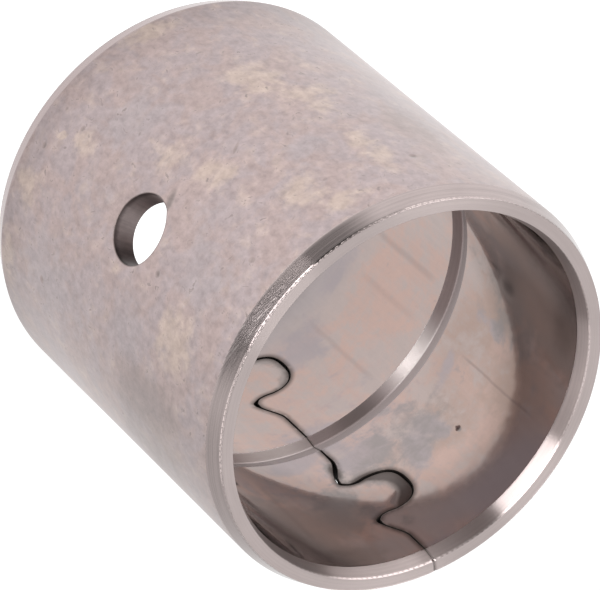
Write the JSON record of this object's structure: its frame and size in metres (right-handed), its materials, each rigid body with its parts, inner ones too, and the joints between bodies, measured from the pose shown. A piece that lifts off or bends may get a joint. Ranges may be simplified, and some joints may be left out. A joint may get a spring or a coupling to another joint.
{
  "type": "wrapped bush",
  "caption": "Plain steel wrapped bush: a rolled strip locked by interlocking tabs, with chamfered ends, a round oil hole and a shallow oil groove round the bore.",
  "frame": {"origin": "on the bore's axis, in the plane of the lower end face", "axes": "+Z along the bore, from the lower end to the upper end; the oil hole is on the -Y side"},
  "size_m": [0.045, 0.045, 0.047],
  "materials": {
    "steel": "satin rolled and turned steel with faint stains"
  },
  "bodies": {
    "root": {"bush": "steel"}
  },
  "joints": []
}
